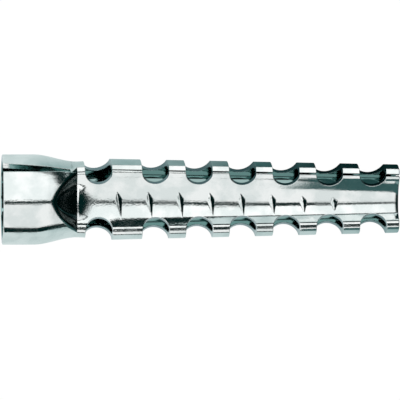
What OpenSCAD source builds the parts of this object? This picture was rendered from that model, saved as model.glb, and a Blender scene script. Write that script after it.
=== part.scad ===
// Sheet-metal wall anchor: a strip rolled into a sleeve, with a plain collar for the screw,
// a front wall pressed in to a trough, notched ridges that grip the hole and thread ribs.
// X runs from the mouth to the tip on the collar's axis, and Z points up, out of the trough.

/* [Sleeve] */
// Length from the mouth to the tip
length = 38; // [34:0.5:60]
// Thickness of the sheet
sheet_t = 0.6; // [0.5:0.05:0.7]
// Inside radius of the folds along the ridges
fold_r = 0.15; // [0.1:0.05:0.25]

/* [Collar] */
// Outside diameter of the collar
collar_d = 8.64; // [8.2:0.02:9.4]
// Length of the round collar
collar_len = 4.3; // [3:0.1:5]
// Angle of the seam's middle, from the front towards the upper ridge
seam_angle = 47.5; // [44:0.5:50]
// Width of the seam's gap at the mouth
seam_gap = 0.8; // [0.4:0.02:1]
// Width of the seam's gap along the body
slit_gap = 0.1; // [0.06:0.01:0.16]
// Angle of the seam on the upper ridge's fold, from the front
slit_angle = 15; // [0:1:20]

/* [Body] */
// Outside diameter at the neck, just behind the collar
neck_d = 7.26; // [7:0.02:7.8]
// Outside diameter at the first wide tooth
body_d = 7.76; // [7.4:0.02:8.2]
// Outside diameter at the tip
tip_d = 6.56; // [6.2:0.02:7.4]
// Distance from the collar to the slope
slope_gap = 0.1; // [0.1:0.05:0.6]
// Length of the slope from the collar down to the trough
slope_len = 2.7; // [2.2:0.1:3.2]
// Height of the bead that the press raised at the foot of the slope
bead_h = 0.16; // [0.06:0.02:0.24]
// Width of that bead across the trough
bead_w = 3.8; // [2.4:0.1:4]
// Length over which the neck widens to the body
neck_len = 3.2; // [2.4:0.1:4]
// Angle from the front to the ridges, at the neck
ridge_angle = 62; // [58:0.5:66]
// Angle from the front to the ridges, at the tip
ridge_angle_tip = 64; // [60:0.5:66]
// Steepness of the trough's sides, at the neck
side_slope = 37; // [30:1:44]
// Steepness of the trough's sides, at the tip
side_slope_tip = 53; // [44:1:56]

/* [Notches] */
// Diameter of the notch punch
notch_d = 2.44; // [2:0.02:2.8]
// Distance from the mouth to the first notch
notch_first = 9.2; // [9:0.05:10]
// Width of the wide tooth between the first two notches
wide_tooth = 3; // [2.2:0.02:3.4]
// Spacing of the other notches
notch_pitch = 4.175; // [3.8:0.025:5]
// Depth of the notches below the ridges
notch_depth = 0.92; // [0.6:0.02:1.1]
// Slant of the notch punch
notch_tilt = 17.5; // [14:0.5:21]
// How far the lower row of notches is set towards the tip
row_shift = 0.12; // [0:0.02:0.3]
// Least length of the last tooth
last_tooth = 1; // [0.6:0.1:2]

/* [Thread ribs] */
// Distance from the mouth to the first rib
rib_first = 11.2; // [11:0.1:13]
// Spacing of the ribs
rib_pitch = 2.95; // [2.5:0.01:3.5]
// Plain length of trough between the last rib and the tip
rib_free = 5; // [3:0.5:8]
// Height of the ribs
rib_h = 0.3; // [0.1:0.02:0.4]
// Length of the first rib across the trough
rib_w = 2.9; // [1.5:0.1:3.2]
// Length of the last rib across the trough
rib_w_tip = 1.5; // [0.8:0.1:2]
// Slant of the ribs
rib_lead = 8.6; // [5:0.1:12]
// How far the ribs sit below the middle of the trough
rib_drop = 0.3; // [0:0.05:0.5]

/* [Hidden] */
$fn = 96;

collar_r = collar_d / 2;
bore_r = collar_r - sheet_t;
ridge_r = fold_r + sheet_t;
slope_start = collar_len + slope_gap;
slope_end = slope_start + slope_len;
body_start = slope_end + neck_len;
taper_len = length - body_start;
seam_half = seam_gap / collar_r * 90 / PI;
slit_half = slit_gap / ridge_r * 90 / PI;
mouth_bevel = sheet_t / 6;

// The sleeve lies on its round back, rolled so that the lighter side, with the seam, is a little higher.
rest_roll = 4;

// The collar's ring reaches this far over the start of the formed wall, which lies inside it.
lap = 0.5;
lap_inset = sheet_t / 12;

// How many points follow each stretch of a section: upper ridge, trough, lower ridge, back.
stretch_steps = [6, 12, 6, 36];
slope_steps = 9;
neck_steps = 3;

// The plain cylinder is described by the same stretches as the trough, at these angles.
round_ridge_angle = 6;
round_side_slope = -3;

// Lengths along the trough of a rib's steep and gentle sides, and of the bead's steep side.
rib_rise = 0.22;
rib_fall = 0.5;
bead_rise = 0.2;
rib_count = floor((length - rib_free - rib_first) / rib_pitch) + 1;
rib_places = [for (i = [0 : rib_count - 1]) rib_first + i * rib_pitch];

notch_second = notch_first + notch_d + wide_tooth;
notch_count = floor((length - last_tooth - notch_d / 2 - notch_second) / notch_pitch) + 1;
notch_places = concat(
    [notch_first],
    [for (i = [0 : notch_count - 1]) notch_second + i * notch_pitch]
);

function mix(a, b, share) = a + (b - a) * share;
function clamp(share) = max(0, min(1, share));
function ease(share) = let (s = clamp(share)) s * s * (3 - 2 * s);

// How much of the trough is formed at x, from 0 in the collar to 1 behind the slope.
function formed(x) = clamp((x - slope_start) / slope_len);

// How far along the tapered body x is, from 0 to 1.
function along(x) = clamp((x - body_start) / taper_len);

// Outside radius of the round back at x.
function back_r(x) = x < slope_end
    ? mix(collar_r, neck_d / 2, ease((x - collar_len) / (slope_end - collar_len)))
    : x < body_start
        ? mix(neck_d / 2, body_d / 2, ease((x - slope_end) / neck_len))
        : mix(body_d, tip_d, along(x)) / 2;

function ridge_at(x) = mix(round_ridge_angle, mix(ridge_angle, ridge_angle_tip, along(x)), formed(x));
function slope_at(x) = mix(round_side_slope, mix(side_slope, side_slope_tip, along(x)), formed(x));

// Outside radius of the ridges' fold at x: a part of the cylinder before the slope, tight behind it.
function fold_at(x) = mix(ridge_r, back_r(x), pow(1 - formed(x), 3));

// Middle of the upper ridge's fold, and half the width of the trough between the two folds.
function fold_mid(x) = let (reach = back_r(x) - fold_at(x))
    [reach * sin(ridge_at(x)), reach * cos(ridge_at(x))];
function trough_half(x) = fold_mid(x)[0] - fold_at(x) * sin(slope_at(x));

// A place on the section at x, as [y, z, angle of the outward normal from the front].
// The turn runs 0 to 1 over the upper ridge, to 2 over the trough, to 3 over the lower ridge
// and to 4 round the back. Values outside that run go on round the section.
function section(x, turn) =
    turn < 0 ? section(x, turn + 4) :
    turn > 4 ? section(x, turn - 4) :
    let (ridge = ridge_at(x), slope = slope_at(x), mid = fold_mid(x), r = fold_at(x))
    turn <= 1 ?
        let (n = mix(ridge, -slope, turn))
        [mid[0] + r * sin(n), mid[1] + r * cos(n), n] :
    turn <= 2 ?
        let (n = mix(-slope, slope, turn - 1), w = trough_half(x) / sin(slope))
        [-w * sin(n), mid[1] + r * cos(slope) + w * (cos(slope) - cos(n)), n] :
    turn <= 3 ?
        let (n = mix(slope, -ridge, turn - 2))
        [-mid[0] + r * sin(n), mid[1] + r * cos(n), n] :
        let (n = mix(-ridge, ridge - 360, turn - 3), back = back_r(x))
        [back * sin(n), back * cos(n), n];

// The turn at which the section's normal has a given angle, on the upper ridge or just behind it.
function turn_at(x, n) = let (ridge = ridge_at(x))
    n > ridge ? -(n - ridge) / (360 - 2 * ridge) : (ridge - n) / (ridge + slope_at(x));

// The seam's two edges: apart on the collar, and almost closed along the top of the upper ridge.
function seam_share(x) = pow(formed(x), 4);
function seam_front(x) = mix(seam_angle - seam_half, slit_angle - slit_half, seam_share(x));
function seam_back(x) = mix(seam_angle + seam_half, slit_angle + slit_half, seam_share(x));

// The turns of one section's points, from the seam's front edge round to its back edge.
function section_turns(x) = let (
    first = turn_at(x, seam_front(x)),
    last = 4 + turn_at(x, seam_back(x)),
    ends = [first, 1, 2, 3, last]
) [for (s = [0 : 3], i = [s == 0 ? 0 : 1 : stretch_steps[s]])
    mix(ends[s], ends[s + 1], i / stretch_steps[s])];

// Lift of the sheet in a thread rib or the bead, highest at its middle and gone at its ends.
function rib_half(x) = mix(rib_w, rib_w_tip, along(x)) / 2;
function lift(y, height, half) = height * max(0, 1 - pow((y + rib_drop) / half, 2));

// The lines across the trough lean like a screw's thread, and not at the ridges.
function lean(x, y, turn) = turn <= 1 || turn >= 2 || x < slope_end
    ? 0
    : let (share = y / trough_half(x))
        -tan(rib_lead) * y * (1 - share * share) * ease((x - slope_end) / neck_len);

// Stations along the sleeve, as [x, inset of both faces, height of the lift, half the lift's width].
stations = concat(
    [for (x = [collar_len - lap, collar_len + lap_inset]) [x, lap_inset, 0, 1]],
    [for (i = [1 : slope_steps]) [mix(slope_start, slope_end, i / slope_steps), 0, 0, 1]],
    [for (i = [0 : neck_steps])
        let (share = i / neck_steps)
        [mix(slope_end + bead_rise, body_start, share), 0, bead_h * pow(1 - share, 2), bead_w / 2]],
    [for (x = rib_places)
        each [[x - rib_rise, 0, 0, 1], [x, 0, rib_h, rib_half(x)], [x + rib_fall, 0, 0, 1]]],
    [[length, 0, 0, 1]]
);

// One face of the sheet at a station, at a depth below the outside.
function face_points(station, depth) = let (x = station[0])
    [for (turn = section_turns(x))
        let (p = section(x, turn), raised = turn > 1 && turn < 2 ? lift(p[0], station[2], station[3]) : 0)
        [x + (x < length ? lean(x, p[0], turn) : 0),
         p[0] - depth * sin(p[2]),
         p[1] - depth * cos(p[2]) + raised]];

function station_points(station) = concat(
    face_points(station, station[1]),
    face_points(station, sheet_t - station[1])
);

// The formed wall: two faces joined along the seam's edges and at both ends.
module formed_wall() {
    per_face = stretch_steps * [1, 1, 1, 1] + 1;
    per_station = 2 * per_face;
    last = len(stations) - 1;
    function at(station, side, i) = station * per_station + side * per_face + i;
    points = [for (s = stations) each station_points(s)];
    outside = [for (s = [0 : last - 1], i = [0 : per_face - 2])
        each [[at(s, 0, i), at(s + 1, 0, i), at(s + 1, 0, i + 1)],
              [at(s, 0, i), at(s + 1, 0, i + 1), at(s, 0, i + 1)]]];
    inside = [for (s = [0 : last - 1], i = [0 : per_face - 2])
        each [[at(s, 1, i), at(s + 1, 1, i + 1), at(s + 1, 1, i)],
              [at(s, 1, i), at(s, 1, i + 1), at(s + 1, 1, i + 1)]]];
    seam_faces = [for (s = [0 : last - 1])
        each [[at(s, 0, 0), at(s, 1, 0), at(s + 1, 1, 0)],
              [at(s, 0, 0), at(s + 1, 1, 0), at(s + 1, 0, 0)],
              [at(s, 0, per_face - 1), at(s + 1, 0, per_face - 1), at(s + 1, 1, per_face - 1)],
              [at(s, 0, per_face - 1), at(s + 1, 1, per_face - 1), at(s, 1, per_face - 1)]]];
    ends = [for (i = [0 : per_face - 2])
        each [[at(0, 0, i), at(0, 0, i + 1), at(0, 1, i + 1)],
              [at(0, 0, i), at(0, 1, i + 1), at(0, 1, i)],
              [at(last, 0, i), at(last, 1, i + 1), at(last, 0, i + 1)],
              [at(last, 0, i), at(last, 1, i), at(last, 1, i + 1)]]];
    polyhedron(points, concat(outside, inside, seam_faces, ends));
}

// The collar's ring, open at the seam, with a small bevel at the mouth.
module collar() {
    rotate([90, 0, 90])
        rotate([0, 0, 90 - seam_angle + seam_half])
            rotate_extrude(angle = 360 - 2 * seam_half)
                polygon([
                    [bore_r + mouth_bevel, 0], [collar_r - mouth_bevel, 0], [collar_r, mouth_bevel],
                    [collar_r, collar_len], [bore_r, collar_len], [bore_r, mouth_bevel]
                ]);
}

// One notch of the upper ridge: a round punch that leans back, open towards the outside.
module notch(x) {
    half = notch_d / 2;
    low_y = back_r(x) - notch_depth;
    low_z = -sqrt(pow(back_r(x), 2) - low_y * low_y);
    translate([x, low_y, low_z])
        rotate([notch_tilt, 0, 0])
            translate([0, half, -collar_r / 2])
                linear_extrude(2 * collar_d) {
                    circle(half);
                    translate([-half, 0]) square([notch_d, collar_r]);
                }
}

module anchor_sleeve() {
    color("#b9c1c3")
        rotate([rest_roll, 0, 0]) {
            collar();
            difference() {
                formed_wall();
                for (x = notch_places) {
                    notch(x);
                    mirror([0, 1, 0]) notch(x + row_shift);
                }
            }
        }
}

anchor_sleeve();
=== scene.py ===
import math

import bpy
import numpy as np
from mathutils import Matrix


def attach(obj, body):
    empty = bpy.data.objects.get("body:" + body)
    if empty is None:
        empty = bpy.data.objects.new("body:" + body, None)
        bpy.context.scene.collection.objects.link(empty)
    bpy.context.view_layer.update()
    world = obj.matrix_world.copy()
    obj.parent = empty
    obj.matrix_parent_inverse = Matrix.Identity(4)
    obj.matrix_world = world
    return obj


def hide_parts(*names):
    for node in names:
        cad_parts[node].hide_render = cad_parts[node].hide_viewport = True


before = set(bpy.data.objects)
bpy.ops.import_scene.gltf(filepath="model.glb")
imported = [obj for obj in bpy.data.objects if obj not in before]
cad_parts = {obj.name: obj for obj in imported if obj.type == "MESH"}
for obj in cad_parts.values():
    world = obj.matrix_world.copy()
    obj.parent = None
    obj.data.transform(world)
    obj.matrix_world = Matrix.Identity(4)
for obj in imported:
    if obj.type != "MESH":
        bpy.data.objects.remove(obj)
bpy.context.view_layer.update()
print("frame loaded:", sorted(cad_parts))

mm = 0.001  # the sleeve's sizes below are in millimetres, and Blender's units are metres


def addNode(tree, kind, settings=None, values=None, links=None):
    # one node, with its own settings, the values of its inputs and the sockets that lead into it
    node = tree.nodes.new(kind)
    for name, value in (settings or {}).items():
        setattr(node, name, value)
    for name, value in (values or {}).items():
        node.inputs[name].default_value = value
    for name, socket in (links or {}).items():
        tree.links.new(socket, node.inputs[name])
    return node


def emptyMaterial(name):
    material = bpy.data.materials.new(name)
    material.use_nodes = True
    material.node_tree.nodes.clear()
    return material, material.node_tree


def linearColour(hexText):
    # sRGB hex to linear: the standard curve, with its short straight foot
    channels = [int(hexText[i:i + 2], 16) / 255 for i in (1, 3, 5)]
    return [c / 12.92 if c <= 0.04045 else ((c + 0.055) / 1.055) ** 2.4 for c in channels] + [1.0]


def grey(strength):
    return [strength, strength, strength, 1.0]


redFall = 1.45  # the studio's shaded parts have a blue-green cast: red is raised to this power


def coolGrey(strength):
    return [strength ** redFall, strength, strength, 1.0]


def setStops(ramp, stops):
    # the ramp starts with two stops, and the rest are added between them
    elements = ramp.color_ramp.elements
    while len(elements) < len(stops):
        elements.new(0.5)
    for element, (place, colour) in zip(elements, sorted(stops)):
        element.position = place
        element.color = colour


# Sleeve: one strip of sheet steel, rolled to a split tube and pressed in at the front

sleeve = {
    "length": 38.0,
    "sheet": 0.6,
    "foldRadius": 0.75,  # outside radius of the upper fold, along its ridge
    "lowerFold": 0.66,  # and of the lower one, which was pressed tighter
    "collarRadius": 4.32,
    "collarLength": 4.3,
    "shoulderStart": 3.0,  # the collar begins to draw in here
    "seamAngle": 41,  # from the front to the seam's front edge on the collar
    "seamGap": 1.24,  # at the mouth; it closes steadily to the slit along the upper ridge
    "slitAngle": (17, 5),  # at the neck and at the tip
    "slitGap": (0.08, 0.26),
    "flatEdge": 26.4,  # the strip's front edge on the collar runs on almost straight from this angle
    "flatShare": 0.8,
    "flatReach": 30,  # degrees, as far as it runs straight
    "pulled": (4.0, 1.4, 2.2),  # the press pulled that edge down: where, over what length and by what angle
    "flatRidge": (22, 52),  # its back edge lies flat on the ridge between these two angles
    "flatTop": 16,  # the press flattened the lower fold's top, over this angle to either side
    "neckRadius": 3.63,
    "bodyRadius": 3.88,
    "tipRadius": 3.28,
    "slopeStart": 4.5,
    "slopeLength": 2.6,
    "neckLength": 3.2,
    "ridgeAngle": (62, 64),  # at the neck and at the tip
    "upperSlope": (34, 47),
    "lowerSlope": (35.5, 57),
    "steepen": (3, 1.4),  # by these powers of the way to the tip, upper and lower
    "roundRidgeAngle": 6,  # the plain collar is described by the same stretches, at these angles
    "roundSideSlope": -3,
    "leastSlope": 0.1,  # a flat stretch is drawn as a very large arc, with this slope
    "foldFade": 0.25,  # share of the trough beside each fold where ribs and bead fade out
    "restRoll": 4,  # the sleeve lies with the seam's side, the lighter one, rolled up by this angle
    "edgeRound": 0.08,
    "rollover": (0.14, 0.5),  # the shears drew the trough's end down: depth and length
    "steps": (16, 34, 40, 64),  # points over the upper ridge, the trough, the lower ridge and the back
    "sharpAngle": 35,  # edges that turn by more than this stay sharp
}

ribs = {
    "first": 11.1,
    "pitch": 2.95,
    "count": 8,
    "height": 0.3,
    "width": (2.9, 0.25),  # across the trough, at the first and at the tip, which none reaches
    "lead": 8.6,  # degrees off square to the sleeve
    "drop": 0.52,  # their middle lies this far towards the lower ridge
    "rise": 0.22,  # length of the side to the mouth, and of the side to the tip
    "fall": 0.42,
    "peak": 0.7,  # where along its length, from the lower end, a rib is highest
}

bead = {  # a step left by the press at the foot of the slope
    "height": 0.72,
    "width": 5.4,
    "drop": 0.3,
    "rise": 2.2,
    "top": 0.12,
    "fall": 3.4,
    "fade": 2.5,  # the fall is steepest at its start, by this power
    "bow": 0.022,  # its ends lie nearer the tip, by this times the square of the distance
}

dent = {  # a crease that the punch for the notches left along the trough's lower side
    "depth": (0, 0.06, 0.06, 0.13, 0.07),
    "crease": 0.6,  # its place, as a share of the way from the bottom to the fold
    "places": (9.8, 11.0, 18.2, 19.8, 38.0),  # along the sleeve, where it has these depths
}

notches = {
    "radius": 1.29,
    "places": [9.2] + [14.64 + 4.175 * i for i in range(6)],
    "rowShift": -0.25,  # the upper row is set this far towards the mouth at the back
    "rake": 0.045,  # and comes forward to the lower row's places, by this slope
    "depth": 0.92,
    "openTop": 4,  # the punch ends this many radii above its lowest point
    "tilt": 17.5,  # degrees the punch leans back
    "reach": (-2.0, 6.0),  # how far the punch goes behind and in front of the back wall
    "arcSteps": 40,
}

slopeEnd = sleeve["slopeStart"] + sleeve["slopeLength"]
bodyStart = slopeEnd + sleeve["neckLength"]
ribPlaces = ribs["first"] + ribs["pitch"] * np.arange(ribs["count"])


def mix(a, b, share):
    # a straight law from a to b
    return a + (b - a) * share


def ease(share):
    # a smooth step from 0 to 1, level at both ends: 3 s squared less 2 s cubed
    s = np.clip(share, 0, 1)
    return s * s * (3 - 2 * s)


def formed(x):
    # 0 in the collar, 1 where the trough is fully pressed in
    return np.clip((x - sleeve["slopeStart"]) / sleeve["slopeLength"], 0, 1)


def along(x):
    # 0 where the body begins to taper, 1 at the tip
    return np.clip((x - bodyStart) / (sleeve["length"] - bodyStart), 0, 1)


def backRadius(x):
    # collar to neck and neck to body by smooth steps, then a straight taper to the tip
    neck = mix(sleeve["collarRadius"], sleeve["neckRadius"],
               ease((x - sleeve["shoulderStart"]) / (slopeEnd - sleeve["shoulderStart"])))
    swell = mix(sleeve["neckRadius"], sleeve["bodyRadius"], ease((x - slopeEnd) / sleeve["neckLength"]))
    taper = mix(sleeve["bodyRadius"], sleeve["tipRadius"], along(x))
    return np.where(x < slopeEnd, neck, np.where(x < bodyStart, swell, taper))


def sectionAngles(x):
    # ridge: from the front to the middle of a fold; the other two: steepest part of the trough's sides,
    # which grow steeper towards the tip, the upper one later and less
    pressed = 1 - (1 - formed(x)) ** 3
    ridge = mix(sleeve["roundRidgeAngle"], mix(*sleeve["ridgeAngle"], along(x)), formed(x))
    upperEnd = mix(*sleeve["upperSlope"], along(x) ** sleeve["steepen"][0])
    lowerEnd = mix(*sleeve["lowerSlope"], along(x) ** sleeve["steepen"][1])
    both = mix(sleeve["roundSideSlope"], (upperEnd + lowerEnd) / 2, pressed)
    both = np.where(np.abs(both) < sleeve["leastSlope"], sleeve["leastSlope"], both)
    apart = (lowerEnd - upperEnd) / 2 * formed(x) ** 4
    return np.radians(ridge), np.radians(both - apart), np.radians(both + apart)


def foldShape(x, tight=sleeve["foldRadius"]):
    # the fold's radius, which shrinks from the collar's own to the tight ridge, and its middle's place
    radius = mix(tight, backRadius(x), (1 - formed(x)) ** 6)
    ridge = sectionAngles(x)[0]
    reach = backRadius(x) - radius
    return radius, reach * np.sin(ridge), reach * np.cos(ridge)


def troughShape(x):
    # two arcs that leave the folds at their slopes and meet level, at the bottom: an arc that turns by s
    # over a width w falls by w tan(s/2), and both falls end at one height, which gives the bottom's place
    upper, lower = sectionAngles(x)[1:]
    radius, midY, midZ = foldShape(x)
    upperY = midY - radius * np.sin(upper)
    upperZ = midZ + radius * np.cos(upper)
    upperTan = np.tan(upper / 2)
    lowRadius, lowY, lowZ = foldShape(x, sleeve["lowerFold"])
    lowerY = lowY - lowRadius * np.sin(lower)
    lowerZ = lowZ + lowRadius * np.cos(lower)
    lowerTan = np.tan(lower / 2)
    bottomY = (lowerZ - upperZ + upperY * upperTan - lowerY * lowerTan) / (upperTan + lowerTan)
    bottomZ = upperZ - (upperY - bottomY) * upperTan
    return bottomY, bottomZ, (upperY - bottomY) / np.sin(upper), (lowerY + bottomY) / np.sin(lower)


def flatRidge(x, n):
    # the strip's unbent end stands proud of the fold: a tangent line is 1 / cos away from the circle
    start, corner = np.radians(sleeve["flatRidge"])
    ridge = sectionAngles(x)[0]
    proud = 1 / np.cos(np.clip(n - start, 0, corner - start)) - 1
    back = np.clip((ridge - n) / np.maximum(ridge - corner, 0.01), 0, 1)  # no division by 0 on the collar
    return 1 + proud * back * formed(x) ** 4


def flatEdge(x, n):
    # the same at the seam's front edge on the collar, which starts further back beside the slope
    place, reach, angle = sleeve["pulled"]
    start = sleeve["flatEdge"] + angle * ease(1 - np.abs(x - place) / reach)
    away = np.clip(n - np.radians(start), 0, np.radians(sleeve["flatReach"]))
    return mix(1, 1 / np.cos(away), sleeve["flatShare"] * (1 - formed(x)))


def section(x, turn):
    # arcs joined at common tangents: upper fold 0-1, trough 1-2, lower fold 2-3, round back 3-4;
    # each is a circle of the normal's angle n, so y = c + r sin n and z = c + r cos n;
    # gives y, z and n at every station x and every turn
    turn = np.where(turn > 4, turn - 4, turn)
    ridge, upper, lower = sectionAngles(x)
    radius, midY, midZ = foldShape(x)
    lowRadius, lowY, lowZ = foldShape(x, sleeve["lowerFold"])
    bottomY, bottomZ, upperWide, lowerWide = troughShape(x)
    upperFold = mix(ridge, -upper, turn)
    floor = np.where(turn < 1.5, -upper * (3 - 2 * turn), lower * (2 * turn - 3))
    lowerFold = mix(lower, -ridge, turn - 2)
    back = mix(-ridge, ridge - 2 * np.pi, turn - 3)
    front = ridge - turn * (2 * np.pi - 2 * ridge)  # the collar in front of the seam, at turns below 0
    wide = np.where(turn < 1.5, upperWide, lowerWide)
    proud = radius * flatRidge(x, upperFold)
    flatTop = mix(1, math.cos(math.radians(sleeve["flatTop"])), formed(x) ** 8)
    flat = backRadius(x) * flatEdge(x, front)
    stretch = [turn < 0, turn <= 1, turn <= 2, turn <= 3, turn <= 4]
    y = np.select(stretch, [flat * np.sin(front), midY + proud * np.sin(upperFold),
                            bottomY - wide * np.sin(floor), -lowY + lowRadius * np.sin(lowerFold),
                            backRadius(x) * np.sin(back)])
    z = np.select(stretch, [flat * np.cos(front), midZ + proud * np.cos(upperFold),
                            bottomZ + wide * (1 - np.cos(floor)),
                            lowZ + lowRadius * np.minimum(np.cos(lowerFold), flatTop),
                            backRadius(x) * np.cos(back)])
    return y, z, np.select(stretch, [front, upperFold, floor, lowerFold, back])


def seamTurn(x, side):
    # the seam's two edges stand apart on the collar and almost meet along the top of the upper ridge;
    # the front edge runs straight in y from the one to the other, and the gap closes by a straight law
    slitAngle = np.radians(mix(*sleeve["slitAngle"], along(x)))
    slitWidth = mix(*sleeve["slitGap"], along(x)) / sleeve["foldRadius"]
    neckY = foldShape(np.maximum(x, slopeEnd))[1] + sleeve["foldRadius"] * np.sin(slitAngle - slitWidth / 2)
    edgeY = mix(sleeve["collarRadius"] * math.sin(math.radians(sleeve["seamAngle"])), neckY, formed(x))
    radius, midY = foldShape(x)[:2]
    onFold = np.arcsin(np.clip((edgeY - midY) / radius, -1, 1))
    onCollar = np.arcsin(np.clip(edgeY / backRadius(x), -1, 1))
    width = mix(sleeve["seamGap"] / sleeve["collarRadius"], slitWidth, np.clip(x / slopeEnd, 0, 1))
    ridge, upper = sectionAngles(x)[:2]
    n = np.where(onFold < ridge, onFold, onCollar) + width * (side > 0)
    return np.where(n > ridge, -(n - ridge) / (2 * np.pi - 2 * ridge), (ridge - n) / (ridge + upper))


def troughLift(x, y):
    # a rib is a tent, highest towards its upper end, with a steep side to the mouth and a gentle one
    # to the tip; both sides keep their slope, so the rib is narrow where it is low; the bead is a
    # straight rise times a fall by a power, lower towards its ends; the rollover goes by a square
    fromMiddle = y + ribs["drop"]
    leaned = x + math.tan(math.radians(ribs["lead"])) * fromMiddle
    share = fromMiddle / mix(*ribs["width"], along(x) ** 2) + 0.5
    tent = np.clip(np.minimum(share / ribs["peak"], (1 - share) / (1 - ribs["peak"])), 0, 1)
    lift = np.zeros_like(leaned)
    for place in ribPlaces:
        away = leaned - place
        side = np.where(away < 0, -away / ribs["rise"], away / ribs["fall"])
        lift = np.maximum(lift, ribs["height"] * np.clip(tent - side, 0, 1))
    aside = y + bead["drop"]
    past = x - slopeEnd - bead["bow"] * aside ** 2
    rise = np.clip(1 + past / bead["rise"], 0, 1)
    fall = np.clip(1 - (past - bead["top"]) / bead["fall"], 0, 1) ** bead["fade"]
    beadLift = bead["height"] * rise * fall * np.clip(1 - (aside / bead["width"] * 2) ** 2, 0, 1) ** 2
    depth, reach = sleeve["rollover"]
    return lift + beadLift - depth * np.clip((x - sleeve["length"]) / reach + 1, 0, 1) ** 2


def sideDent(x, turn):
    # a crease along the trough's lower side: the depth grows with the square of the distance from the
    # bottom, and beyond the crease falls with the square of the distance from the fold
    share = np.clip(2 * turn - 3, 0, 1)
    crease = dent["crease"]
    depth = np.where(share < crease, share / crease, (1 - share) / (1 - crease)) ** 2
    return depth * np.interp(x, dent["places"], dent["depth"])


spacing = {  # stations along the sleeve: mm apart, how many to a stretch, or mm to either side of it
    "edge": 5,
    "first": 0.12,
    "collar": 0.2,
    "slope": 44,
    "pastSlope": 0.5,
    "neck": 0.12,
    "neckFrom": 0.6,
    "body": 0.3,
    "beforeTip": 0.2,
    "rollover": 8,
    "bead": 16,
    "besideBead": (-0.1, 0.4),
    "rib": 24,
    "besideRib": 0.35,
}


def sleeveStations():
    # closer together where the sheet bends along its length: the mouth, the slope, the ribs and the tip
    edge = np.linspace(0, sleeve["edgeRound"], spacing["edge"])
    places = [edge, np.arange(spacing["first"], sleeve["collarLength"], spacing["collar"]),
              np.linspace(sleeve["collarLength"], slopeEnd + spacing["pastSlope"], spacing["slope"]),
              np.arange(slopeEnd + spacing["neckFrom"], bodyStart, spacing["neck"]),
              np.arange(bodyStart, sleeve["length"] - spacing["beforeTip"], spacing["body"]),
              sleeve["length"] - edge,
              sleeve["length"] - np.linspace(0, sleeve["rollover"][1], spacing["rollover"]),
              slopeEnd + np.linspace(*spacing["besideBead"], spacing["bead"])]
    for place in ribPlaces:
        low = place - ribs["rise"] - spacing["besideRib"]
        high = place + ribs["fall"] + spacing["besideRib"]
        places.append(np.linspace(low, high, spacing["rib"]))
    return np.unique(np.round(np.concatenate(places), 4))


def edgeInset(x):
    # both faces draw in by a quarter circle at the mouth and at the tip
    r = sleeve["edgeRound"]
    near = np.clip(np.minimum(x, sleeve["length"] - x), 0, r)
    return r - np.sqrt(r * r - (r - near) ** 2)


def rolled(x, y, z):
    # the frame's points, in metres: y and z are turned about the sleeve's axis by the rest roll
    turn = math.radians(sleeve["restRoll"])
    up, out = math.sin(turn), math.cos(turn)
    return np.stack([x + 0 * y, out * y - up * z, up * y + out * z], axis=-1) * mm


def sleeveMesh():
    # the section at every station, from one edge of the seam round to the other; the inside is the
    # outside moved in along its normal by the sheet, and strips of faces close the seam and both ends
    x = sleeveStations()[:, None]
    first = seamTurn(x, -1)
    last = 4 + seamTurn(x, 1)
    bounds = [first, np.ones_like(x), 2 * np.ones_like(x), 3 * np.ones_like(x), last]
    turns = [mix(bounds[s], bounds[s + 1], np.linspace(0, 1, steps + 1)[1 if s else 0:])
             for s, steps in enumerate(sleeve["steps"])]
    turn = np.concatenate(turns, axis=1)
    y, z, n = section(x, turn)
    inTrough = (turn > 1) & (turn < 2)
    fade = ease(np.minimum(turn - 1, 2 - turn) / sleeve["foldFade"])  # no rib or bead rises at the folds
    lift = np.where(inTrough, fade * troughLift(x, y) - sideDent(x, turn), 0)
    inset = edgeInset(x)
    faces = []
    for depth in (inset, sleeve["sheet"] - inset):
        faces.append(rolled(x, y - depth * np.sin(n), z - depth * np.cos(n) + lift))
    ring = np.concatenate([faces[0], faces[1][:, ::-1]], axis=1)  # round the outside and back on the inside
    stations, around = ring.shape[:2]
    index = np.arange(stations * around).reshape(stations, around)
    nextRound = np.roll(index, -1, axis=1)
    walls = np.stack([index[:-1], nextRound[:-1], nextRound[1:], index[1:]], axis=-1).reshape(-1, 4)
    half = around // 2
    outer = index[:, :half]
    inner = index[:, :half - 1:-1]
    mouth = np.stack([outer[0, :-1], inner[0, :-1], inner[0, 1:], outer[0, 1:]], axis=-1)
    tip = np.stack([outer[-1, :-1], outer[-1, 1:], inner[-1, 1:], inner[-1, :-1]], axis=-1)
    mesh = bpy.data.meshes.new("anchorSleeve")
    mesh.from_pydata(ring.reshape(-1, 3).tolist(), [], np.concatenate([walls, mouth, tip]).tolist())
    look = np.zeros(len(mesh.polygons), dtype=np.int32)
    look[:len(walls)] = np.tile(np.arange(around) >= half, stations - 1)  # 0 outside, 1 inside
    look[len(walls):] = 2  # the sheared ends
    mesh.polygons.foreach_set("material_index", look)
    return mesh


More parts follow.
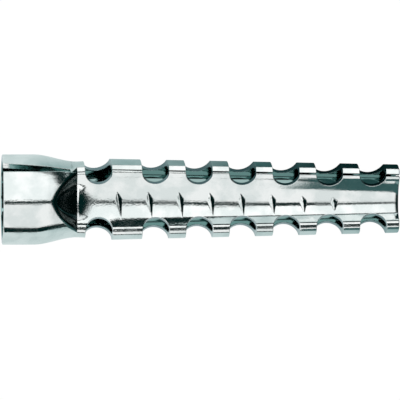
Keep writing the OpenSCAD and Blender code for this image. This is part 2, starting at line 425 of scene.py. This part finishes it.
def punchMesh():
    # a U outline, half circle below and open above, carried along a line that leans back by the tilt;
    # one for each place on the upper ridge, and its mirror image, without the rake, on the lower ridge
    angle = np.linspace(np.pi, 2 * np.pi, notches["arcSteps"] + 1)
    u = notches["radius"] * np.concatenate([np.cos(angle), [1, -1]])
    v = notches["radius"] * np.concatenate([1 + np.sin(angle), [notches["openTop"]] * 2])
    tilt = math.radians(notches["tilt"])
    points, faces = [], []
    around = len(u)
    for place in notches["places"]:
        for side, x, rake in ((1, place + notches["rowShift"], notches["rake"]), (-1, place, 0)):
            radius = float(backRadius(np.array(x)))
            lowY = radius - notches["depth"]
            lowZ = -math.sqrt(radius ** 2 - lowY ** 2)
            start = len(points) * around
            for w in notches["reach"]:
                y = lowY + v * math.cos(tilt) - w * math.sin(tilt)
                z = lowZ + v * math.sin(tilt) + w * math.cos(tilt)
                points.append(rolled(x + u + rake * w, side * y, z))
            low = start + np.arange(around)
            high = low + around
            walls = np.stack([low, np.roll(low, -1), np.roll(high, -1), high], axis=-1)
            ends = [low[::-1].tolist(), high.tolist()]
            loops = walls.tolist() + ends
            faces += loops if side > 0 else [loop[::-1] for loop in loops]
    mesh = bpy.data.meshes.new("notchPunch")
    mesh.from_pydata(np.concatenate(points).tolist(), [], faces)
    mesh.polygons.foreach_set("material_index", np.full(len(faces), 2, dtype=np.int32))  # sheared
    return mesh


def addObject(mesh):
    obj = bpy.data.objects.new(mesh.name, mesh)
    bpy.context.scene.collection.objects.link(obj)
    return obj


# Bright zinc plating on pressed sheet: a hard mirror with a faint blue-green cast, dulled in patches
# by handling and drawn out along the strip

zinc = {
    "colour": "#f0f4f3",
    "dullColour": "#dde5e4",
    "roughness": (0.06, 0.14),
    "patchSize": 2.2,  # mm
    "patchEdges": (0.42, 0.6),  # of the noise: the dull colour below, the bright one above
    "roughEdges": (0.35, 0.65),
    "grainSize": 0.16,  # mm, where the press stretched the sheet and roughened its face
    "grainReach": (4.6, 6.4, 10.0, 24.0),  # mm along the sleeve: from, full, full and to
    "grain": (0.16, 0.5),  # strength of the grain elsewhere and there
    "grainDepth": 0.02,  # mm
    "drawSize": (3.0, 0.3),  # mm, faint lines along the strip, long and narrow
    "draw": 0.06,
    "drawDepth": 0.1,  # mm
    "edgeRound": 0.1,  # mm
    "edgeSamples": 6,
    "tipFacingShade": (0.48, 0.64),  # painted shade: faces turned towards the tip, the slope most, are darkened for the dark they reflect; by the normal's X, from none to full
    "tipFacingShadeShare": 0.14,  # of the plating's colour left in that painted shade
    "tipFacingShadeColour": "#0e1f1e",
}

# painted shade: the inside's colour is darker and blue-green, as the shade within the rolled tube
inside = {
    "colour": "#9db8b6",
    "roughness": 0.05,
}

sheared = {
    "colour": "#82959a",
    "roughness": 0.12,
}


def roundedEdges(tree):
    # normals as if every edge were rounded by this radius
    return addNode(tree, "ShaderNodeBevel", {"samples": zinc["edgeSamples"]},
                   values={"Radius": zinc["edgeRound"] * mm})


def brightZincPlate():
    material, tree = emptyMaterial("bright zinc-plated steel")
    coords = addNode(tree, "ShaderNodeTexCoord")
    patches = addNode(tree, "ShaderNodeTexNoise",
                      values={"Scale": 1 / (zinc["patchSize"] * mm), "Detail": 3.0},
                      links={"Vector": coords.outputs["Object"]})
    grain = addNode(tree, "ShaderNodeTexNoise",
                    values={"Scale": 1 / (zinc["grainSize"] * mm), "Detail": 2.0},
                    links={"Vector": coords.outputs["Object"]})
    colour = addNode(tree, "ShaderNodeValToRGB", links={"Fac": patches.outputs["Fac"]})
    dull, bright = zinc["patchEdges"]
    setStops(colour, [(dull, linearColour(zinc["dullColour"])), (bright, linearColour(zinc["colour"]))])
    facing = addNode(tree, "ShaderNodeSeparateXYZ", links={0: coords.outputs["Normal"]})
    # painted shade: where the normal turns towards the tip the colour goes to near black, for the dark that
    # the slope reflects
    tipFacingShade = addNode(tree, "ShaderNodeMapRange",
                     values={"From Min": zinc["tipFacingShade"][0], "From Max": zinc["tipFacingShade"][1],
                             "To Min": 1.0, "To Max": zinc["tipFacingShadeShare"]},
                     links={"Value": facing.outputs["X"]})
    shadedBase = addNode(tree, "ShaderNodeMix", {"data_type": "RGBA"},
                   values={6: linearColour(zinc["tipFacingShadeColour"])},
                   links={0: tipFacingShade.outputs["Result"], 7: colour.outputs["Color"]})
    rough = addNode(tree, "ShaderNodeMapRange",
                    values={"From Min": zinc["roughEdges"][0], "From Max": zinc["roughEdges"][1],
                            "To Min": zinc["roughness"][1], "To Max": zinc["roughness"][0]},
                    links={"Value": patches.outputs["Fac"]})
    edges = roundedEdges(tree)
    long, narrow = zinc["drawSize"]
    stretched = addNode(tree, "ShaderNodeMapping",
                        values={"Scale": [1 / (size * mm) for size in (long, narrow, narrow)]},
                        links={"Vector": coords.outputs["Object"]})
    drawn = addNode(tree, "ShaderNodeTexNoise", values={"Scale": 1.0, "Detail": 2.0},
                    links={"Vector": stretched.outputs["Vector"]})
    lines = addNode(tree, "ShaderNodeBump",
                    values={"Strength": zinc["draw"], "Distance": zinc["drawDepth"] * mm},
                    links={"Height": drawn.outputs["Fac"], "Normal": edges.outputs["Normal"]})
    parts = addNode(tree, "ShaderNodeSeparateXYZ", links={0: coords.outputs["Object"]})
    place = addNode(tree, "ShaderNodeMapRange", values={"From Max": sleeve["length"] * mm},
                    links={"Value": parts.outputs["X"]})
    reach = addNode(tree, "ShaderNodeValToRGB", links={"Fac": place.outputs["Result"]})
    setStops(reach, [(x / sleeve["length"], grey(zinc["grain"][full]))
                     for x, full in zip(zinc["grainReach"], (0, 1, 1, 0))])
    bump = addNode(tree, "ShaderNodeBump", values={"Distance": zinc["grainDepth"] * mm},
                   links={"Strength": reach.outputs["Color"], "Height": grain.outputs["Fac"],
                          "Normal": lines.outputs["Normal"]})
    metal = addNode(tree, "ShaderNodeBsdfPrincipled", values={"Metallic": 1.0},
                    links={"Base Color": shadedBase.outputs[2], "Roughness": rough.outputs["Result"],
                           "Normal": bump.outputs["Normal"]})
    addNode(tree, "ShaderNodeOutputMaterial", links={"Surface": metal.outputs["BSDF"]})
    return material


def plainZinc(name, look):
    # the sleeve's inside, with its painted shade, and the sheared faces in the notches and at both ends
    material, tree = emptyMaterial(name)
    edges = roundedEdges(tree)
    metal = addNode(tree, "ShaderNodeBsdfPrincipled",
                    values={"Metallic": 1.0, "Base Color": linearColour(look["colour"]),
                            "Roughness": look["roughness"]},
                    links={"Normal": edges.outputs["Normal"]})
    addNode(tree, "ShaderNodeOutputMaterial", links={"Surface": metal.outputs["BSDF"]})
    return material


sleeveObject = addObject(sleeveMesh())
punchObject = addObject(punchMesh())
platings = [
    brightZincPlate(),
    plainZinc("zinc inside with painted shade", inside),
    plainZinc("sheared zinc edge", sheared),
]
for plating in platings:
    sleeveObject.data.materials.append(plating)
    punchObject.data.materials.append(plating)
cut = sleeveObject.modifiers.new("notches", "BOOLEAN")
cut.operation = "DIFFERENCE"
cut.solver = "MANIFOLD"
cut.object = punchObject
bpy.context.view_layer.objects.active = sleeveObject
bpy.ops.object.modifier_apply(modifier=cut.name)
bpy.data.objects.remove(punchObject)
sleeveObject.data.shade_smooth()
sleeveObject.data.set_sharp_from_angle(angle=math.radians(sleeve["sharpAngle"]))
print("sleeve:", len(sleeveObject.data.vertices), "points,", len(sleeveObject.data.polygons), "faces")

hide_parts("anchor_sleeve")
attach(sleeveObject, "root")
print("sleeve plated")

# Floor: white to the camera, with the shadow; in the metal it shows as shaded paper

floorLook = {
    "half": 120.0,  # mm
    "colour": "#f4f4f4",
    "white": 1.03,
    "glow": (0.96, 1.0),  # the share of that white to the camera, by the sleeve and at the rim
    "near": (15.0, 90.0),  # mm from the sleeve's middle
    # in the metal: mm along X and the brightness there, on the upper side and on the lower
    "upperShade": [(-20, 0.8), (4, 0.76), (12, 0.5), (25, 0.125), (32, 0.02), (60, 0.015)],
    "lowerShade": [(-20, 0.84), (12, 0.72), (30, 0.66), (40, 0.4), (60, 0.02)],
    "shadeFrom": -20.0,
    "shadeTo": 60.0,
    "between": (-3.0, 3.0),  # mm along Y, from the lower shade to the upper
}


def shadeAlong(tree, place, stops):
    # straight steps of grey from stop to stop along X
    ramp = addNode(tree, "ShaderNodeValToRGB", links={"Fac": place.outputs["Result"]})
    reach = floorLook["shadeTo"] - floorLook["shadeFrom"]
    setStops(ramp, [((x - floorLook["shadeFrom"]) / reach, coolGrey(shade)) for x, shade in stops])
    return ramp


def paleFloor():
    # a plane that touches the collar's far edge and the tip, as the sleeve comes to rest on a table
    rise = (sleeve["collarRadius"] - sleeve["tipRadius"]) / (sleeve["length"] - sleeve["collarLength"])
    middle = sleeve["length"] / 2
    x = middle + floorLook["half"] * np.array([-1, 1, 1, -1])
    y = floorLook["half"] * np.array([-1, -1, 1, 1])
    z = -sleeve["collarRadius"] + rise * (x - sleeve["collarLength"])
    mesh = bpy.data.meshes.new("paleFloor")
    mesh.from_pydata((np.stack([x, y, z], axis=-1) * mm).tolist(), [], [[0, 1, 2, 3]])
    material, tree = emptyMaterial("pale paper sweep")
    coords = addNode(tree, "ShaderNodeTexCoord")
    away = addNode(tree, "ShaderNodeVectorMath", {"operation": "DISTANCE"}, values={1: (middle * mm, 0, 0)},
                   links={0: coords.outputs["Object"]})
    glow = addNode(tree, "ShaderNodeMapRange",
                   values={"From Min": floorLook["near"][0] * mm, "From Max": floorLook["near"][1] * mm,
                           "To Min": floorLook["glow"][0], "To Max": floorLook["glow"][1]},
                   links={"Value": away.outputs["Value"]})
    path = addNode(tree, "ShaderNodeLightPath")
    share = addNode(tree, "ShaderNodeMath", {"operation": "MULTIPLY"},
                    links={0: path.outputs["Is Camera Ray"], 1: glow.outputs["Result"]})
    paper = addNode(tree, "ShaderNodeBsdfDiffuse", values={"Color": linearColour(floorLook["colour"])})
    white = addNode(tree, "ShaderNodeEmission", values={"Strength": floorLook["white"]})
    lit = addNode(tree, "ShaderNodeMixShader",
                  links={0: share.outputs["Value"], 1: paper.outputs["BSDF"], 2: white.outputs["Emission"]})
    parts = addNode(tree, "ShaderNodeSeparateXYZ", links={0: coords.outputs["Object"]})
    place = addNode(tree, "ShaderNodeMapRange",
                    values={"From Min": floorLook["shadeFrom"] * mm, "From Max": floorLook["shadeTo"] * mm},
                    links={"Value": parts.outputs["X"]})
    side = addNode(tree, "ShaderNodeMapRange",
                   values={"From Min": floorLook["between"][0] * mm,
                           "From Max": floorLook["between"][1] * mm},
                   links={"Value": parts.outputs["Y"]})
    shade = addNode(tree, "ShaderNodeMix", {"data_type": "RGBA"},
                    links={0: side.outputs["Result"],
                           6: shadeAlong(tree, place, floorLook["lowerShade"]).outputs["Color"],
                           7: shadeAlong(tree, place, floorLook["upperShade"]).outputs["Color"]})
    mirrored = addNode(tree, "ShaderNodeEmission", links={"Color": shade.outputs[2]})
    both = addNode(tree, "ShaderNodeMixShader",
                   links={0: path.outputs["Is Glossy Ray"], 1: lit.outputs["Shader"],
                          2: mirrored.outputs["Emission"]})
    addNode(tree, "ShaderNodeOutputMaterial", links={"Surface": both.outputs["Shader"]})
    mesh.materials.append(material)
    return addObject(mesh)


paleFloor()

# Black card: stands beside the tip, out of the picture, and darkens the trough's upper side there;
# the room's light leaves it a dark grey-green

blackCard = {
    "from": 33.0,  # mm along X
    "to": 120.0,
    "aside": -40.0,  # mm along Y
    "top": 34.0,
    "colour": "#3a5c5c",
}


def standingCard():
    # one upright rectangle along X, which only the metal shows
    x = [blackCard["from"], blackCard["to"], blackCard["to"], blackCard["from"]]
    z = [0.0, 0.0, blackCard["top"], blackCard["top"]]
    mesh = bpy.data.meshes.new("blackCard")
    mesh.from_pydata([(a * mm, blackCard["aside"] * mm, b * mm) for a, b in zip(x, z)], [], [[0, 1, 2, 3]])
    material, tree = emptyMaterial("black card")
    dark = addNode(tree, "ShaderNodeEmission", values={"Color": linearColour(blackCard["colour"])})
    addNode(tree, "ShaderNodeOutputMaterial", links={"Surface": dark.outputs["Emission"]})
    mesh.materials.append(material)
    card = addObject(mesh)
    card.visible_camera = False
    card.visible_diffuse = False
    card.visible_shadow = False
    return card


# Studio: two long softboxes over the sleeve with a narrow gap between them, black beyond them, then
# the pale room; a white card at the mouth's end and black at the tip's end

studio = {
    "upperBox": (-3, 47),  # degrees from overhead towards +Y, and negative towards -Y
    "lowerBox": (-77, -12),
    "upperWhite": 1.15,
    "lowerWhite": 0.95,
    "horizon": ((-97, 0.6), (67, 0.75)),  # the pale room begins at these angles, with these strengths
    "dark": "#04201f",
    "edge": 4,  # degrees over which a box fades
    "sharpEdge": 1,  # degrees to either side of where a box or the room begins
    "tipEnd": (0.44, 0.66),  # the boxes fade towards the tip's end, by the direction's X
    "mouthCard": (-0.75, -0.55),
}


def studioLight():
    world = bpy.data.worlds.new("softboxes")
    bpy.context.scene.world = world
    world.use_nodes = True
    tree = world.node_tree
    tree.nodes.clear()
    coords = addNode(tree, "ShaderNodeTexCoord")
    parts = addNode(tree, "ShaderNodeSeparateXYZ", links={0: coords.outputs["Generated"]})
    across = addNode(tree, "ShaderNodeMath", {"operation": "ARCTAN2"},
                     links={0: parts.outputs["Y"], 1: parts.outputs["Z"]})
    turn = addNode(tree, "ShaderNodeMapRange", values={"From Min": -math.pi, "From Max": math.pi},
                   links={"Value": across.outputs["Value"]})
    boxes = addNode(tree, "ShaderNodeValToRGB", links={"Fac": turn.outputs["Result"]})
    dark = linearColour(studio["dark"])
    stops = []
    sharp = studio["sharpEdge"]
    soft = studio["edge"] / 2
    for name in ("upper", "lower"):
        low, high = studio[name + "Box"]
        white = grey(studio[name + "White"])
        stops += [(low - sharp, dark), (low + sharp, white), (high - soft, white), (high + soft, dark)]
    (low, lowPale), (high, highPale) = studio["horizon"]
    stops += [(low + sharp, dark), (low - sharp, coolGrey(lowPale))]
    stops += [(high - sharp, dark), (high + sharp, coolGrey(highPale))]
    setStops(boxes, [((angle + 180) / 360, colour) for angle, colour in stops])
    tipEnd = addNode(tree, "ShaderNodeMapRange",
                     values={"From Min": studio["tipEnd"][0], "From Max": studio["tipEnd"][1],
                             "To Min": 1.0, "To Max": 0.0}, links={"Value": parts.outputs["X"]})
    mouthCard = addNode(tree, "ShaderNodeMapRange",
                        values={"From Min": studio["mouthCard"][0], "From Max": studio["mouthCard"][1],
                                "To Min": 1.0, "To Max": 0.0}, links={"Value": parts.outputs["X"]})
    shaded = addNode(tree, "ShaderNodeMix", {"data_type": "RGBA"},
                     values={6: dark}, links={0: tipEnd.outputs["Result"], 7: boxes.outputs["Color"]})
    carded = addNode(tree, "ShaderNodeMix", {"data_type": "RGBA"},
                     values={7: grey(studio["upperWhite"])},
                     links={0: mouthCard.outputs["Result"], 6: shaded.outputs[2]})
    light = addNode(tree, "ShaderNodeBackground", links={"Color": carded.outputs[2]})
    paper = addNode(tree, "ShaderNodeBackground", values={"Strength": 1.0, "Color": grey(1.0)})
    path = addNode(tree, "ShaderNodeLightPath")
    seen = addNode(tree, "ShaderNodeMixShader",
                   links={0: path.outputs["Is Camera Ray"], 1: light.outputs["Background"],
                          2: paper.outputs["Background"]})
    addNode(tree, "ShaderNodeOutputWorld", links={"Surface": seen.outputs["Shader"]})


studioLight()
standingCard()
print("studio lit")

# Camera: almost overhead with a long lens, a little towards the mouth's end

view = {
    "distance": 600.0,  # mm from the sleeve's axis
    "towardsMouth": 4.0,  # degrees off the vertical
    "turn": -0.148,  # degrees, the picture's own turn
    "centre": (18.973, -0.09, 0.0),  # mm, the picture's middle
    "width": 38.33,  # mm across the picture at the sleeve's axis
    "sensor": 36.0,
    "clipEnd": 10.0,  # m
}


def overheadCamera():
    data = bpy.data.cameras.new("overhead")
    data.sensor_width = view["sensor"]
    data.lens = view["sensor"] * view["distance"] / view["width"]
    data.clip_end = view["clipEnd"]
    camera = bpy.data.objects.new("overhead", data)
    bpy.context.scene.collection.objects.link(camera)
    lean = math.radians(view["towardsMouth"])
    back = np.array([-math.sin(lean), 0.0, math.cos(lean)])
    right = np.array([math.cos(lean), 0.0, math.sin(lean)])
    up = np.array([0.0, 1.0, 0.0])
    turn = math.radians(view["turn"])
    turnedRight = math.cos(turn) * right + math.sin(turn) * up
    turnedUp = math.cos(turn) * up - math.sin(turn) * right
    place = (np.array(view["centre"]) + view["distance"] * back) * mm
    pose = np.eye(4)
    pose[:3] = np.stack([turnedRight, turnedUp, back, place], axis=-1)
    camera.matrix_world = Matrix(pose.tolist())
    bpy.context.scene.camera = camera


overheadCamera()
print("camera placed")
bpy.context.scene.view_settings.view_transform = "Standard"
